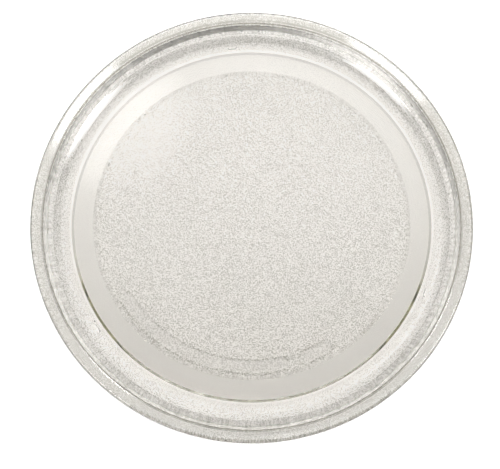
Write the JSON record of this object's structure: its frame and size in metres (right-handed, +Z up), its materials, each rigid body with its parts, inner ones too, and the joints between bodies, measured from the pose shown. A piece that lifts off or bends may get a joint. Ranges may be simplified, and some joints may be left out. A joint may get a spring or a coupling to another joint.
{
  "type": "microwave turntable plate",
  "caption": "Round shallow plate of clear pressed glass that carries food in a microwave oven, with a stepped sloping rim and a smooth roller track on its textured underside.",
  "frame": {"origin": "centre of the plate, on the plane of the roller track that it rests on", "axes": "+Z up, from the roller track to the food side; +X to the right and +Y away from the viewer in the picture"},
  "size_m": [0.245, 0.245, 0.0135],
  "materials": {
    "clear_glass": "clear pressed glass, fire-polished food side, stippled underside"
  },
  "bodies": {
    "root": {"turntable_plate": "clear_glass"}
  },
  "joints": []
}
